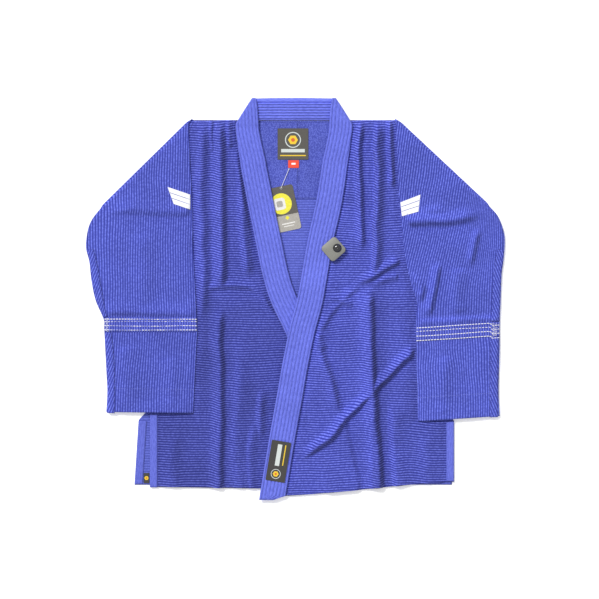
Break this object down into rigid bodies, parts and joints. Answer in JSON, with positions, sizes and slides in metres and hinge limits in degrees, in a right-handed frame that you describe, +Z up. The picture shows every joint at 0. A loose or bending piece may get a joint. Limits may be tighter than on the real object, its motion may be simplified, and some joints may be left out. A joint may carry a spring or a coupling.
{
  "type": "grappling jacket",
  "caption": "Blue grappling jacket laid flat and crossed at the front, with a thick stitched lapel, both sleeves folded down over it, a shop tag and a security tag.",
  "frame": {"origin": "underside of the back panel, on the centre line, halfway between the collar's top and the lapel's end", "axes": "+X towards the wearer's left, +Y towards the collar, +Z up out of the front"},
  "size_m": [0.8141, 0.783, 0.0203],
  "materials": {
    "jacket_cloth": "blue cotton with a raised pearl weave",
    "band_cloth": "smooth blue twill",
    "dark_label": "woven label",
    "white_thread": "white embroidery and thread",
    "red_label": "woven label",
    "core_foam": "dense foam strip",
    "tag_card": "printed card",
    "tag_plastic": "moulded plastic",
    "steel": "bright steel"
  },
  "bodies": {
    "root": {"back_panel": "jacket_cloth", "yoke_lining_right": "band_cloth", "yoke_lining_left": "band_cloth", "neck_label": "dark_label", "collar_neck_cover": "band_cloth", "collar_neck_core": "core_foam", "collar_shoulder_right_cover": "band_cloth", "collar_shoulder_right_core": "core_foam", "front_right_side": "jacket_cloth", "sleeve_right_root_back": "jacket_cloth", "sleeve_right_root_front": "jacket_cloth", "armpit_gusset_right": "band_cloth", "front_vent_tape_right": "band_cloth", "back_vent_tape_right": "band_cloth", "collar_shoulder_left_cover": "band_cloth", "collar_shoulder_left_core": "core_foam", "front_left_side": "jacket_cloth", "sleeve_left_root_back": "jacket_cloth", "sleeve_left_root_front": "jacket_cloth", "armpit_gusset_left": "band_cloth", "front_vent_tape_left": "band_cloth", "back_vent_tape_left": "band_cloth", "back_hem_facing": "jacket_cloth"},
    "front_left": {"front_left_panel": "jacket_cloth", "lapel_left_cover": "band_cloth", "lapel_left_core": "core_foam", "lapel_patch": "dark_label", "security_pin": "steel"},
    "front_right": {"front_right_panel": "jacket_cloth", "lapel_right_cover": "band_cloth", "lapel_right_core": "core_foam"},
    "sleeve_right": {"sleeve_right_upper_back": "jacket_cloth", "sleeve_right_upper_front": "jacket_cloth", "cuff_right_back": "jacket_cloth", "cuff_right_front": "jacket_cloth", "sleeve_right_stitch_band": "white_thread", "sleeve_right_underarm_seam": "jacket_cloth", "cuff_right_underarm_seam": "jacket_cloth", "wing_patch_right": "white_thread"},
    "sleeve_left": {"sleeve_left_upper_back": "jacket_cloth", "sleeve_left_upper_front": "jacket_cloth", "cuff_left_back": "jacket_cloth", "cuff_left_front": "jacket_cloth", "sleeve_left_stitch_band": "white_thread", "sleeve_left_underarm_seam": "jacket_cloth", "cuff_left_underarm_seam": "jacket_cloth", "wing_patch_left": "white_thread"},
    "security_tag": {"tag_base": "tag_plastic", "tag_cover": "tag_plastic", "tag_coil": "steel", "tag_clutch": "steel"},
    "hang_tag": {"hang_tag_card": "tag_card", "hang_tag_string": "white_thread", "hang_tag_knot": "white_thread"},
    "size_tab": {"size_tab": "red_label"},
    "vent_flag": {"vent_flag_label": "dark_label"}
  },
  "joints": [
    {"name": "front_left_open", "type": "hinge", "parent": "root", "child": "front_left", "pos_m": [0.113, 0.347, 0.0036], "axis": [-0.1846, 0.9828, 0], "range_deg": [0, 140]},
    {"name": "front_right_open", "type": "hinge", "parent": "root", "child": "front_right", "pos_m": [-0.113, 0.347, 0.0036], "axis": [-0.1261, -0.992, 0], "range_deg": [0, 48]},
    {"name": "sleeve_left_unfold", "type": "hinge", "parent": "root", "child": "sleeve_left", "pos_m": [0.198, 0.35, 0.00375], "axis": [-0.7305, 0.6829, 0], "range_deg": [0, 180]},
    {"name": "sleeve_right_unfold", "type": "hinge", "parent": "root", "child": "sleeve_right", "pos_m": [-0.199, 0.35, 0.00375], "axis": [-0.7131, -0.7011, 0], "range_deg": [0, 180]},
    {"name": "security_tag_pull", "type": "slide", "parent": "front_left", "child": "security_tag", "axis": [0, 0, 1], "range_m": [0, 0.02]},
    {"name": "hang_tag_swing", "type": "hinge", "parent": "root", "child": "hang_tag", "pos_m": [-0.01, 0.253, 0.0024], "axis": [0, 0, 1], "range_deg": [-12, 20]},
    {"name": "size_tab_flip", "type": "hinge", "parent": "root", "child": "size_tab", "pos_m": [0, 0.2709, 0.0031], "axis": [-1, 0, 0], "range_deg": [0, 120]},
    {"name": "vent_flag_flip", "type": "hinge", "parent": "root", "child": "vent_flag", "pos_m": [-0.293, -0.349, 0.0022], "axis": [0, -1, 0], "range_deg": [0, 110]}
  ],
  "couplings": [
    {"joint": "front_right_open", "follows": "front_left_open", "ratio": 0.33}
  ]
}
